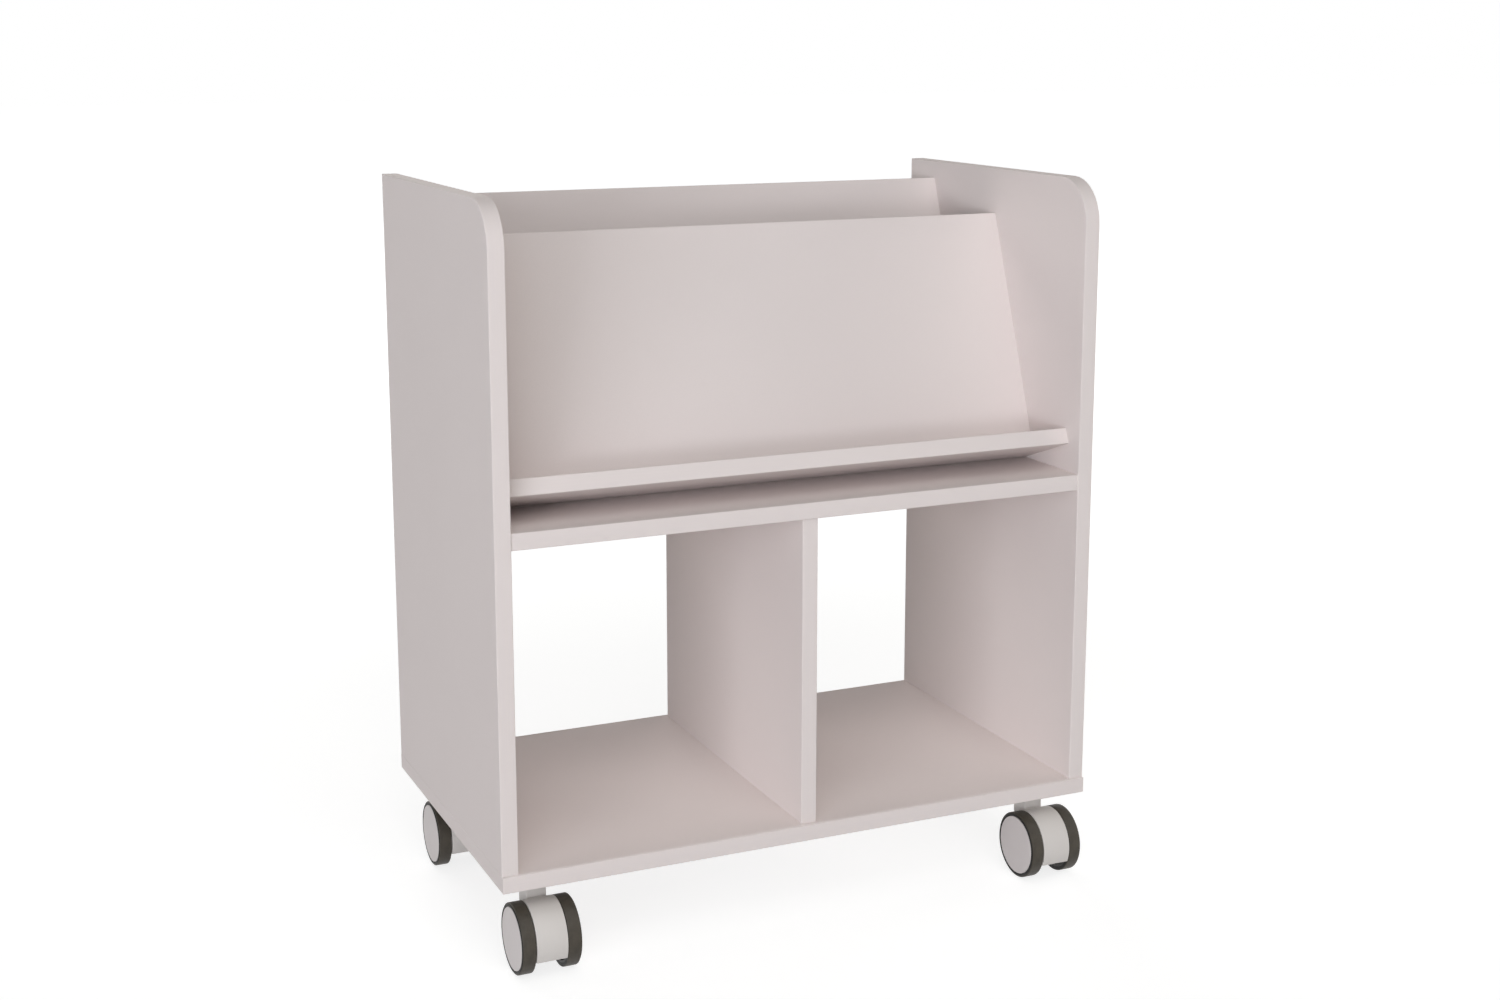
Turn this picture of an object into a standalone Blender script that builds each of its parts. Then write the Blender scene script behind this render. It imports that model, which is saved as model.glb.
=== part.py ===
"""Mobile shelving unit: two open bays below, a sloped display tray and a rear board above, on four casters.

Metres, +Z up. X runs along the width, +Y to the back. The origin is on the floor, in the middle of the
unit's outline. Inside the carcass frame Y = 0 is the front of the side panels and Z = 0 is the floor.
"""
import math

import bmesh
import bpy
from mathutils import Matrix, Vector

# Carcass
UNIT_WIDTH = 0.700
SIDE_DEPTH = 0.400
SIDE_HEIGHT = 0.690
SIDE_CORNER_RADIUS = 0.050
BOARD_THICKNESS = 0.018
BASE_FRONT_REACH = 0.0025
BAY_HEIGHT = 0.341
SHELF_SETBACK = 0.0015
DIVIDER_FRONT_SETBACK = 0.004
DIVIDER_REAR_SETBACK = 0.005
EDGE_BAND = 0.002
EDGE_EASE = 0.001

# Sloped boards above the shelf
TRAY_SLOPE = math.radians(20)
LIP_SETBACK = 0.022
LEDGE_DEPTH = 0.094
FRONT_BOARD_DROP = 0.052
REAR_BOARD_DROP = 0.020
REAR_BOARD_SETBACK = 0.060

# Glued dowels that hold the boards together
DOWEL_RADIUS = 0.004
DOWEL_COVER = 0.007
DOWEL_EDGE_INSET = 0.040
LEDGE_DOWEL_INSET = 0.030

# Twin-wheel casters
CASTER_INSET = 0.046
CASTER_TRAIL = 0.028
WHEEL_RADIUS = 0.0375
WHEEL_WIDTH = 0.015
WHEEL_DISC = 0.003
WHEEL_HUB_WALL = 0.0045
WHEEL_RIM_WALL = 0.0025
WHEEL_SIDE_GAP = 0.001
TYRE_THICKNESS = 0.0042
TYRE_SHOULDER = 0.0012
WHEEL_DISC_EASE = 0.0005
HOOD_RELIEF = 0.001
HOOD_SHOULDER = 0.0055
HOOD_WALL = 0.003
HOOD_WEB = 0.007
HOOD_BOSS_WALL = 0.005
HOOD_EDGE = 0.0008
HOOD_HEIGHT = 0.022
HOOD_HEADROOM = 0.018
NECK_WIDTH = 0.022
NECK_DEPTH = 0.024
NECK_CORNER = 0.002
NECK_FLOOR = 0.012
AXLE_RADIUS = 0.004
AXLE_CHAMFER = 0.0006
KINGPIN_RADIUS = 0.005
KINGPIN_LENGTH = 0.030
KINGPIN_CHAMFER = 0.001
WASHER_THICKNESS = 0.0015
WASHER_INSET = 0.001
PLATE_SIZE = 0.056
PLATE_THICKNESS = 0.0025
PLATE_CORNER = 0.008
PLATE_HOLE_RADIUS = 0.0025
PLATE_HOLE_INSET = 0.008

# Clearances
JOINT_GAP = 0.0003
DOWEL_END_ROOM = 0.001
BORE_CLEARANCE = 0.0003

# Facets
WHEEL_STEPS = 24
PIN_STEPS = 12
DOWEL_STEPS = 8
CORNER_STEPS = 10
EASE_STEPS = 2
PLATE_CORNER_STEPS = 3
SHARP_ANGLE = math.radians(35)

# Heights from the floor up
CASTER_HEIGHT = 2 * WHEEL_RADIUS + HOOD_HEADROOM + PLATE_THICKNESS + JOINT_GAP
BASE_TOP = CASTER_HEIGHT + BOARD_THICKNESS
SIDE_BOTTOM = BASE_TOP + JOINT_GAP
SIDE_TOP = BASE_TOP + SIDE_HEIGHT
SHELF_BOTTOM = BASE_TOP + BAY_HEIGHT
SHELF_TOP = SHELF_BOTTOM + BOARD_THICKNESS

# Widths
INNER_HALF = UNIT_WIDTH / 2 - BOARD_THICKNESS
BOARD_HALF = INNER_HALF - JOINT_GAP
BAND_STEP = EDGE_BAND + JOINT_GAP
DOWEL_REACH = BOARD_THICKNESS - DOWEL_COVER - DOWEL_END_ROOM

# The tray frame: its origin is the ledge's lower back edge, local -Y runs out along the ledge, Z up the board
TRAY_Y = LIP_SETBACK + LEDGE_DEPTH * math.cos(TRAY_SLOPE)
TRAY_Z = SHELF_TOP + JOINT_GAP
FRONT_BOARD_FOOT = BOARD_THICKNESS + JOINT_GAP
FRONT_BOARD_TOP = (
    SIDE_TOP - FRONT_BOARD_DROP - TRAY_Z - BOARD_THICKNESS * math.sin(TRAY_SLOPE)
) / math.cos(TRAY_SLOPE)

# Casters
WHEEL_AXIS_Z = WHEEL_RADIUS
PLATE_TOP = CASTER_HEIGHT - JOINT_GAP
PLATE_BOTTOM = PLATE_TOP - PLATE_THICKNESS
WASHER_TOP = PLATE_BOTTOM - JOINT_GAP
NECK_TOP = WASHER_TOP - WASHER_THICKNESS - JOINT_GAP
KINGPIN_BOTTOM = PLATE_BOTTOM - KINGPIN_LENGTH
NECK_BORE_BOTTOM = KINGPIN_BOTTOM - BORE_CLEARANCE
NECK_BOTTOM = NECK_BORE_BOTTOM - NECK_FLOOR
HOOD_RADIUS = WHEEL_RADIUS - HOOD_RELIEF
HOOD_HALF = NECK_WIDTH / 2 + HOOD_SHOULDER
WHEEL_INNER = HOOD_HALF + WHEEL_SIDE_GAP
WHEEL_MIDDLE = WHEEL_INNER + WHEEL_WIDTH / 2
TYRE_BORE = WHEEL_RADIUS - TYRE_THICKNESS
RIM_RADIUS = TYRE_BORE - JOINT_GAP
BORE_RADIUS = AXLE_RADIUS + BORE_CLEARANCE
KINGPIN_BORE = KINGPIN_RADIUS + BORE_CLEARANCE
# The axle ends just short of the blind end of each wheel's bore, behind the wheel's outer disc.
AXLE_HALF = WHEEL_INNER + WHEEL_WIDTH - WHEEL_DISC - BORE_CLEARANCE

SWIVEL_X = UNIT_WIDTH / 2 - CASTER_INSET
SWIVEL_FRONT_Y = CASTER_INSET - BASE_FRONT_REACH
SWIVEL_REAR_Y = SIDE_DEPTH - CASTER_INSET
CASTERS = {
    "front_left": (-SWIVEL_X, SWIVEL_FRONT_Y),
    "front_right": (SWIVEL_X, SWIVEL_FRONT_Y),
    "rear_left": (-SWIVEL_X, SWIVEL_REAR_Y),
    "rear_right": (SWIVEL_X, SWIVEL_REAR_Y),
}

# The middle of the outline from front to back: the front wheels stand out past the base.
FRONT_END = min(-BASE_FRONT_REACH, SWIVEL_FRONT_Y - CASTER_TRAIL - WHEEL_RADIUS)
REAR_END = max(SIDE_DEPTH, SWIVEL_REAR_Y - CASTER_TRAIL + WHEEL_RADIUS)
CARCASS_Y = -(FRONT_END + REAR_END) / 2


def linear(red, green, blue):
    """A colour written as 0 to 255 screen values, in Blender's linear light."""
    return [((v / 255 + 0.055) / 1.055) ** 2.4 for v in (red, green, blue)] + [1.0]


def finish(name, colour, roughness, metallic=0.0):
    """A material with one colour and gloss."""
    material = bpy.data.materials.new(name)
    material.use_nodes = True
    shader = material.node_tree.nodes["Principled BSDF"]
    shader.inputs["Base Color"].default_value = linear(*colour)
    shader.inputs["Roughness"].default_value = roughness
    shader.inputs["Metallic"].default_value = metallic
    return material


def to_mesh(name, bm):
    """Turns the faces outward and hands the shape over as a mesh."""
    bmesh.ops.recalc_face_normals(bm, faces=bm.faces)
    mesh = bpy.data.meshes.new(name)
    bm.to_mesh(mesh)
    bm.free()
    return mesh


def prism(name, outline, low, high):
    """A solid with a (y, z) outline, running along X from low to high."""
    bm = bmesh.new()
    face = bm.faces.new([bm.verts.new((low, y, z)) for y, z in outline])
    made = bmesh.ops.extrude_face_region(bm, geom=[face])
    moved = [v for v in made["geom"] if isinstance(v, bmesh.types.BMVert)]
    bmesh.ops.translate(bm, verts=moved, vec=(high - low, 0, 0))
    return to_mesh(name, bm)


def box_outline(front, back, bottom, top):
    return [(front, bottom), (back, bottom), (back, top), (front, top)]


def band_section(low, high):
    """An edge band's section as (depth from its outer face, place across) points, its outer edges eased."""
    low_corner, high_corner = [], []
    for i in range(EASE_STEPS + 1):
        turn = math.pi / 2 * i / EASE_STEPS
        depth = EDGE_EASE * (1 - math.cos(turn))
        across = EDGE_EASE * (1 - math.sin(turn))
        low_corner.insert(0, (depth, low + across))
        high_corner.append((depth, high - across))
    return [(EDGE_BAND, low)] + low_corner + high_corner + [(EDGE_BAND, high)]


def lofted(name, loops, closed):
    """A solid through matching loops of points, either closed on itself or capped at both ends."""
    bm = bmesh.new()
    rows = [[bm.verts.new(point) for point in loop] for loop in loops]
    pairs = list(zip(rows, rows[1:]))
    if closed:
        pairs.append((rows[-1], rows[0]))
    else:
        bm.faces.new(rows[0])
        bm.faces.new(rows[-1])
    for a, b in pairs:
        for i in range(len(a)):
            j = (i + 1) % len(a)
            bm.faces.new((a[i], a[j], b[j], b[i]))
    return to_mesh(name, bm)


def turned(name, profile, axis, steps):
    """A solid turned about an axis through its origin from (along, radius) points.

    A profile that starts and ends on the axis stays open there. Turned shapes on the X axis have a flat
    facet underneath, at the radius that is asked for, as a wheel that stands on the floor.
    """
    bm = bmesh.new()
    half_step = math.pi / steps
    verts = []
    for along, radius in profile:
        reach = radius / math.cos(half_step)
        if axis == "X":
            place = (along, reach * math.sin(half_step), -reach * math.cos(half_step))
        else:
            place = (reach, 0, along)
        verts.append(bm.verts.new(place))
    for a, b in zip(verts, verts[1:]):
        bm.edges.new((a, b))
    if profile[0][1] > 0:
        bm.edges.new((verts[-1], verts[0]))
    bmesh.ops.spin(
        bm,
        geom=list(bm.verts) + list(bm.edges),
        cent=(0, 0, 0),
        axis=(1, 0, 0) if axis == "X" else (0, 0, 1),
        angle=2 * math.pi,
        steps=steps,
        use_merge=True,
    )
    bmesh.ops.remove_doubles(bm, verts=bm.verts, dist=1e-6)
    return to_mesh(name, bm)


def rods(name, places, radius, back, front, steps):
    """Round rods in one mesh: each runs from back behind its place to front ahead of it."""
    bm = bmesh.new()
    for place, direction in places:
        turn = Vector((0, 0, 1)).rotation_difference(direction).to_matrix().to_4x4()
        middle = Vector(place) + Vector(direction) * (front - back) / 2
        bmesh.ops.create_cone(
            bm,
            cap_ends=True,
            segments=steps,
            radius1=radius,
            radius2=radius,
            depth=front + back,
            matrix=Matrix.Translation(middle) @ turn,
        )
    return to_mesh(name, bm)


def combined(mesh, joined=(), cut=()):
    """The solid with other solids joined on, then others cut away, as one new mesh."""
    body = bpy.data.objects.new(mesh.name, mesh)
    bpy.context.collection.objects.link(body)
    tools = []
    for operation, shapes in (("UNION", joined), ("DIFFERENCE", cut)):
        for shape in shapes:
            tool = bpy.data.objects.new(shape.name, shape)
            bpy.context.collection.objects.link(tool)
            tools.append(tool)
            modifier = body.modifiers.new(shape.name, "BOOLEAN")
            modifier.operation = operation
            modifier.solver = "EXACT"
            modifier.object = tool
    graph = bpy.context.evaluated_depsgraph_get()
    result = bpy.data.meshes.new_from_object(body.evaluated_get(graph))
    for item in [body] + tools:
        bpy.data.objects.remove(item)
    return result


def smooth(mesh):
    """Smooth shading on a round piece, with its real edges kept sharp."""
    mesh.shade_smooth()
    mesh.set_sharp_from_angle(angle=SHARP_ANGLE)
    return mesh


def empty(name, location, parent=None, rotation=(0, 0, 0)):
    item = bpy.data.objects.new(name, None)
    bpy.context.collection.objects.link(item)
    item.location = location
    item.rotation_euler = rotation
    item.parent = parent
    return item


def place(name, mesh, material, parent, location=(0, 0, 0)):
    """One named piece: its own object, on the frame that carries it."""
    item = bpy.data.objects.new(name, mesh)
    bpy.context.collection.objects.link(item)
    item.location = location
    item.parent = parent
    if not mesh.materials:
        mesh.materials.append(material)
    return item


def pegs(name, places):
    """Dowels that stand out of a board's edge; half their length is glued inside that board."""
    return rods(name, places, DOWEL_RADIUS, DOWEL_REACH, DOWEL_REACH, DOWEL_STEPS)


def sockets(name, places):
    """Blind holes for those dowels in the board that they enter."""
    across_flats = (DOWEL_RADIUS + BORE_CLEARANCE) / math.cos(math.pi / DOWEL_STEPS)
    return rods(name, places, across_flats, 0, DOWEL_REACH + DOWEL_END_ROOM, DOWEL_STEPS)


def spread(low, high, count, inset):
    """Evenly spaced places between two ends, the first and last set in from them."""
    first = low + inset
    step = (high - low - 2 * inset) / (count - 1)
    return [first + i * step for i in range(count)]


def to_carcass(y, z):
    """A point of the tray frame in the carcass frame."""
    c, s = math.cos(TRAY_SLOPE), math.sin(TRAY_SLOPE)
    return TRAY_Y + y * c + z * s, TRAY_Z - y * s + z * c


def to_tray(y, z):
    """A point of the carcass frame in the tray frame."""
    c, s = math.cos(TRAY_SLOPE), math.sin(TRAY_SLOPE)
    dy, dz = y - TRAY_Y, z - TRAY_Z
    return dy * c - dz * s, dy * s + dz * c


# The rear board is parallel to the front one; its front top edge is set from the sides' top and back.
REAR_BOARD_FRONT, REAR_BOARD_TOP = to_tray(SIDE_DEPTH - REAR_BOARD_SETBACK, SIDE_TOP - REAR_BOARD_DROP)
REAR_BOARD_BACK = REAR_BOARD_FRONT + BOARD_THICKNESS
REAR_BOARD_FOOT = REAR_BOARD_BACK * math.tan(TRAY_SLOPE)

SIDE_DOWEL_Y = spread(0, SIDE_DEPTH, 3, DOWEL_EDGE_INSET)
SHELF_DOWELS = [(y, SHELF_BOTTOM + BOARD_THICKNESS / 2) for y in SIDE_DOWEL_Y]
DIVIDER_DOWEL_Y = spread(DIVIDER_FRONT_SETBACK, SIDE_DEPTH - DIVIDER_REAR_SETBACK, 2, DOWEL_EDGE_INSET)
LEDGE_DOWELS = [
    (y, BOARD_THICKNESS / 2) for y in spread(-LEDGE_DEPTH, 0, 2, LEDGE_DOWEL_INSET)
]
FRONT_BOARD_DOWELS = [
    (-BOARD_THICKNESS / 2, z) for z in spread(FRONT_BOARD_FOOT, FRONT_BOARD_TOP, 2, DOWEL_EDGE_INSET)
]
REAR_BOARD_DOWELS = [
    ((REAR_BOARD_FRONT + REAR_BOARD_BACK) / 2, z)
    for z in spread(REAR_BOARD_FOOT, REAR_BOARD_TOP, 2, DOWEL_EDGE_INSET)
]
BOARD_FOOT_DOWEL_X = spread(-BOARD_HALF, BOARD_HALF, 3, DOWEL_EDGE_INSET)

UP, DOWN = Vector((0, 0, 1)), Vector((0, 0, -1))
LEFT, RIGHT = Vector((-1, 0, 0)), Vector((1, 0, 0))


def end_dowels(points):
    """Dowels at both ends of a board that runs across the unit, at (y, z) points."""
    left = [((-BOARD_HALF, y, z), LEFT) for y, z in points]
    right = [((BOARD_HALF, y, z), RIGHT) for y, z in points]
    return left + right


def side_dowels(side):
    """Dowels from a side panel's foot down into the base."""
    x = side * (UNIT_WIDTH - BOARD_THICKNESS) / 2
    return [((x, y, SIDE_BOTTOM), DOWN) for y in SIDE_DOWEL_Y]


def divider_dowels(z, direction):
    return [((0, y, z), direction) for y in DIVIDER_DOWEL_Y]


def side_path(inset):
    """The side panel's edge from the front foot over the rounded corner to the rear foot, set in by inset."""
    radius = SIDE_CORNER_RADIUS - inset
    centre_y, centre_z = SIDE_CORNER_RADIUS, SIDE_TOP - SIDE_CORNER_RADIUS
    path = [(inset, SIDE_BOTTOM)]
    for i in range(CORNER_STEPS + 1):
        turn = math.pi / 2 * i / CORNER_STEPS
        path.append((centre_y - radius * math.cos(turn), centre_z + radius * math.sin(turn)))
    path += [(SIDE_DEPTH - inset, SIDE_TOP - inset), (SIDE_DEPTH - inset, SIDE_BOTTOM)]
    return path


def side_band_mesh(low, high):
    """The band that runs round a side panel's edge from foot to foot."""
    section = band_section(low, high)
    paths = [side_path(depth) for depth, _ in section]
    loops = []
    for station in zip(*paths):
        loops.append([(across, y, z) for (_, across), (y, z) in zip(section, station)])
    return smooth(lofted("side_band", loops, closed=False))


def build_sides(carcass, board, band):
    """The two side panels, each with one band glued round its front, top and rear edges."""
    across = SHELF_DOWELS + [
        to_carcass(y, z) for y, z in LEDGE_DOWELS + FRONT_BOARD_DOWELS + REAR_BOARD_DOWELS
    ]
    for name, side in (("left", -1), ("right", 1)):
        low, high = sorted((side * INNER_HALF, side * UNIT_WIDTH / 2))
        panel = prism(f"{name}_side", side_path(BAND_STEP), low, high)
        inward_holes = [p for p in end_dowels(across) if p[0][0] * side > 0]
        panel = combined(
            panel,
            [pegs(f"{name}_side_pegs", side_dowels(side))],
            [sockets(f"{name}_side_sockets", inward_holes)],
        )
        place(f"{name}_side_panel", panel, board, carcass)
        place(f"{name}_side_edge_band", side_band_mesh(low, high), band, carcass)


def build_base(carcass, board, band):
    """The base board, full width under the sides, with a band all round."""
    outline = box_outline(BAND_STEP - BASE_FRONT_REACH, SIDE_DEPTH - BAND_STEP, CASTER_HEIGHT, BASE_TOP)
    half = UNIT_WIDTH / 2 - BAND_STEP
    holes = side_dowels(-1) + side_dowels(1) + divider_dowels(BASE_TOP + JOINT_GAP, DOWN)
    panel = combined(prism("base", outline, -half, half), cut=[sockets("base_sockets", holes)])
    place("base_panel", panel, board, carcass)
    loops = []
    for side_x, side_y in ((-1, -1), (1, -1), (1, 1), (-1, 1)):
        edge_y = -BASE_FRONT_REACH if side_y < 0 else SIDE_DEPTH
        loop = []
        for depth, z in band_section(CASTER_HEIGHT, BASE_TOP):
            loop.append((side_x * (UNIT_WIDTH / 2 - depth), edge_y - side_y * depth, z))
        loops.append(loop)
    place("base_edge_band", lofted("base_band", loops, closed=True), band, carcass)


def build_shelf(carcass, board, band):
    """The middle shelf between the sides, banded on its front and rear edges."""
    front, back = SHELF_SETBACK, SIDE_DEPTH - SHELF_SETBACK
    core = box_outline(front + BAND_STEP, back - BAND_STEP, SHELF_BOTTOM, SHELF_TOP)
    panel = combined(
        prism("shelf", core, -BOARD_HALF, BOARD_HALF),
        [pegs("shelf_pegs", end_dowels(SHELF_DOWELS))],
        [sockets("shelf_sockets", divider_dowels(SHELF_BOTTOM - JOINT_GAP, UP))],
    )
    place("middle_shelf", panel, board, carcass)
    section = band_section(SHELF_BOTTOM, SHELF_TOP)
    for name, edge, inward in (("front", front, 1), ("rear", back, -1)):
        strip = [(edge + inward * depth, z) for depth, z in section]
        band_mesh = prism("shelf_band", strip, -BOARD_HALF, BOARD_HALF)
        place(f"shelf_{name}_edge_band", band_mesh, band, carcass)


def build_divider(carcass, board, band):
    """The upright between the two bays."""
    front, back = DIVIDER_FRONT_SETBACK, SIDE_DEPTH - DIVIDER_REAR_SETBACK
    foot, head = BASE_TOP + JOINT_GAP, SHELF_BOTTOM - JOINT_GAP
    half = BOARD_THICKNESS / 2
    panel = combined(
        prism("divider", box_outline(front + BAND_STEP, back - BAND_STEP, foot, head), -half, half),
        [pegs("divider_pegs", divider_dowels(foot, DOWN) + divider_dowels(head, UP))],
    )
    place("centre_divider", panel, board, carcass)
    section = band_section(-half, half)
    for name, edge, inward in (("front", front, 1), ("rear", back, -1)):
        ends = [[(x, edge + inward * depth, z) for depth, x in section] for z in (foot, head)]
        band_mesh = lofted("divider_band", ends, closed=False)
        place(f"divider_{name}_edge_band", band_mesh, band, carcass)


def build_tray(tray, board, band):
    """The sloped ledge with its lip and the display board that stands on it."""
    core = box_outline(BAND_STEP - LEDGE_DEPTH, 0, 0, BOARD_THICKNESS)
    foot_dowels = [((x, -BOARD_THICKNESS / 2, FRONT_BOARD_FOOT), DOWN) for x in BOARD_FOOT_DOWEL_X]
    ledge = combined(
        prism("ledge", core, -BOARD_HALF, BOARD_HALF),
        [pegs("ledge_pegs", end_dowels(LEDGE_DOWELS))],
        [sockets("ledge_sockets", foot_dowels)],
    )
    place("front_ledge", ledge, board, tray)
    lip = [(depth - LEDGE_DEPTH, z) for depth, z in band_section(0, BOARD_THICKNESS)]
    place("ledge_lip_edge_band", prism("lip_band", lip, -BOARD_HALF, BOARD_HALF), band, tray)

    core = box_outline(-BOARD_THICKNESS, 0, FRONT_BOARD_FOOT, FRONT_BOARD_TOP - BAND_STEP)
    front_board = combined(
        prism("front_board", core, -BOARD_HALF, BOARD_HALF),
        [pegs("front_board_pegs", end_dowels(FRONT_BOARD_DOWELS) + foot_dowels)],
    )
    place("front_display_board", front_board, board, tray)
    top = [(y, FRONT_BOARD_TOP - depth) for depth, y in band_section(-BOARD_THICKNESS, 0)]
    place("front_board_edge_band", prism("front_band", top, -BOARD_HALF, BOARD_HALF), band, tray)


def build_rear_board(tray, board, band):
    """The rear board, parallel to the front one, its foot cut level where it stands on the shelf."""
    front, back = REAR_BOARD_FRONT, REAR_BOARD_BACK
    top = REAR_BOARD_TOP - BAND_STEP
    core = [(front, front * math.tan(TRAY_SLOPE)), (back, REAR_BOARD_FOOT), (back, top), (front, top)]
    panel = combined(
        prism("rear_board", core, -BOARD_HALF, BOARD_HALF),
        [pegs("rear_board_pegs", end_dowels(REAR_BOARD_DOWELS))],
    )
    place("rear_display_board", panel, board, tray)
    strip = [(y, REAR_BOARD_TOP - depth) for depth, y in band_section(front, back)]
    place("rear_board_edge_band", prism("rear_band", strip, -BOARD_HALF, BOARD_HALF), band, tray)


def neck_mesh():
    """The hood's square neck with rounded corners; behind, it slopes down into the drum."""
    half_depth = NECK_DEPTH / 2
    drum_back = math.sqrt(HOOD_RADIUS**2 - (NECK_BOTTOM - WHEEL_AXIS_Z) ** 2) - CASTER_TRAIL
    outline = [
        (-half_depth, NECK_BOTTOM),
        (drum_back - HOOD_WALL / 2, NECK_BOTTOM),
        (half_depth, NECK_BORE_BOTTOM),
        (half_depth, NECK_TOP),
        (-half_depth, NECK_TOP),
    ]
    mesh = prism("hood_neck", outline, -NECK_WIDTH / 2, NECK_WIDTH / 2)
    bm = bmesh.new()
    bm.from_mesh(mesh)
    long_edges = []
    for edge in bm.edges:
        across = abs(edge.verts[0].co.x - edge.verts[1].co.x)
        rise = abs(edge.verts[0].co.z - edge.verts[1].co.z)
        if across == 0 and rise > 0:
            long_edges.append(edge)
    bmesh.ops.bevel(
        bm, geom=long_edges, offset=NECK_CORNER, segments=EASE_STEPS, profile=0.5, affect="EDGES"
    )
    return to_mesh("hood_neck", bm)


def hood_mesh():
    """The moulded caster hood: a drum shell on a middle web, an axle boss and the neck round the kingpin.

    Its origin is on the floor below the swivel axis; the wheels' axis lies ahead of it by the trail.
    """
    boss = AXLE_RADIUS + HOOD_BOSS_WALL
    web = HOOD_WEB / 2
    shell = HOOD_RADIUS - HOOD_WALL
    one_side = [
        (HOOD_HALF, BORE_RADIUS),
        (HOOD_HALF, boss),
        (web, boss),
        (web, shell),
        (HOOD_HALF, shell),
        (HOOD_HALF, HOOD_RADIUS - HOOD_EDGE),
        (HOOD_HALF - HOOD_EDGE, HOOD_RADIUS),
    ]
    profile = one_side + [(-along, radius) for along, radius in reversed(one_side)]
    drum = turned("hood_drum", profile, "X", WHEEL_STEPS)
    drum.transform(Matrix.Translation((0, -CASTER_TRAIL, WHEEL_AXIS_Z)))
    bore_place = [((0, 0, NECK_BORE_BOTTOM), UP)]
    bore_reach = KINGPIN_BORE / math.cos(math.pi / PIN_STEPS)
    bore = rods("kingpin_bore", bore_place, bore_reach, 0, 2 * KINGPIN_LENGTH, PIN_STEPS)
    below = box_outline(-CASTER_TRAIL - 2 * HOOD_RADIUS, HOOD_RADIUS, -HOOD_HEIGHT, HOOD_HEIGHT)
    cut_off = prism("hood_foot", below, -2 * HOOD_HALF, 2 * HOOD_HALF)
    return smooth(combined(drum, [neck_mesh()], [bore, cut_off]))


def plate_mesh():
    """The caster's square top plate with rounded corners, four screw holes and a countersunk kingpin hole."""
    half = PLATE_SIZE / 2
    bm = bmesh.new()
    outline = []
    for quarter in range(4):
        for i in range(PLATE_CORNER_STEPS + 1):
            turn = math.pi / 2 * (quarter + i / PLATE_CORNER_STEPS)
            middle = Matrix.Rotation(math.pi / 2 * quarter, 2) @ Vector((half - PLATE_CORNER,) * 2)
            outline.append(middle + PLATE_CORNER * Vector((math.cos(turn), math.sin(turn))))
    face = bm.faces.new([bm.verts.new((x, y, PLATE_BOTTOM)) for x, y in outline])
    made = bmesh.ops.extrude_face_region(bm, geom=[face])
    moved = [v for v in made["geom"] if isinstance(v, bmesh.types.BMVert)]
    bmesh.ops.translate(bm, verts=moved, vec=(0, 0, PLATE_THICKNESS))
    corner = half - PLATE_HOLE_INSET
    screw_places = [((x, y, PLATE_BOTTOM), UP) for x in (-corner, corner) for y in (-corner, corner)]
    screw_holes = rods(
        "screw_holes", screw_places, PLATE_HOLE_RADIUS, PLATE_THICKNESS, 2 * PLATE_THICKNESS, DOWEL_STEPS
    )
    above, below = PLATE_TOP + JOINT_GAP, PLATE_BOTTOM - JOINT_GAP
    seat_profile = [
        (above, 0),
        (above, KINGPIN_BORE + PLATE_THICKNESS + JOINT_GAP),
        (PLATE_TOP, KINGPIN_BORE + PLATE_THICKNESS),
        (PLATE_BOTTOM, KINGPIN_BORE),
        (below, KINGPIN_BORE),
        (below, 0),
    ]
    seat = turned("kingpin_seat", seat_profile, "Z", PIN_STEPS)
    return combined(to_mesh("plate", bm), cut=[screw_holes, seat])


def kingpin_mesh():
    """The kingpin, its countersunk head flush in the plate."""
    profile = [
        (PLATE_TOP, 0),
        (PLATE_TOP, KINGPIN_RADIUS + PLATE_THICKNESS),
        (PLATE_BOTTOM, KINGPIN_RADIUS),
        (KINGPIN_BOTTOM + KINGPIN_CHAMFER, KINGPIN_RADIUS),
        (KINGPIN_BOTTOM, KINGPIN_RADIUS - KINGPIN_CHAMFER),
        (KINGPIN_BOTTOM, 0),
    ]
    return smooth(turned("kingpin", profile, "Z", PIN_STEPS))


def washer_mesh():
    """The thrust washer between the plate and the hood's neck."""
    bottom = WASHER_TOP - WASHER_THICKNESS
    outer = NECK_WIDTH / 2 - WASHER_INSET
    profile = [
        (WASHER_TOP, KINGPIN_BORE),
        (WASHER_TOP, outer),
        (bottom, outer),
        (bottom, KINGPIN_BORE),
    ]
    return smooth(turned("washer", profile, "Z", PIN_STEPS))


def axle_mesh():
    """The steel axle that both wheels of a caster turn on."""
    profile = [
        (AXLE_HALF, 0),
        (AXLE_HALF, AXLE_RADIUS - AXLE_CHAMFER),
        (AXLE_HALF - AXLE_CHAMFER, AXLE_RADIUS),
        (AXLE_CHAMFER - AXLE_HALF, AXLE_RADIUS),
        (-AXLE_HALF, AXLE_RADIUS - AXLE_CHAMFER),
        (-AXLE_HALF, 0),
    ]
    return smooth(turned("axle", profile, "X", PIN_STEPS))


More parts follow.
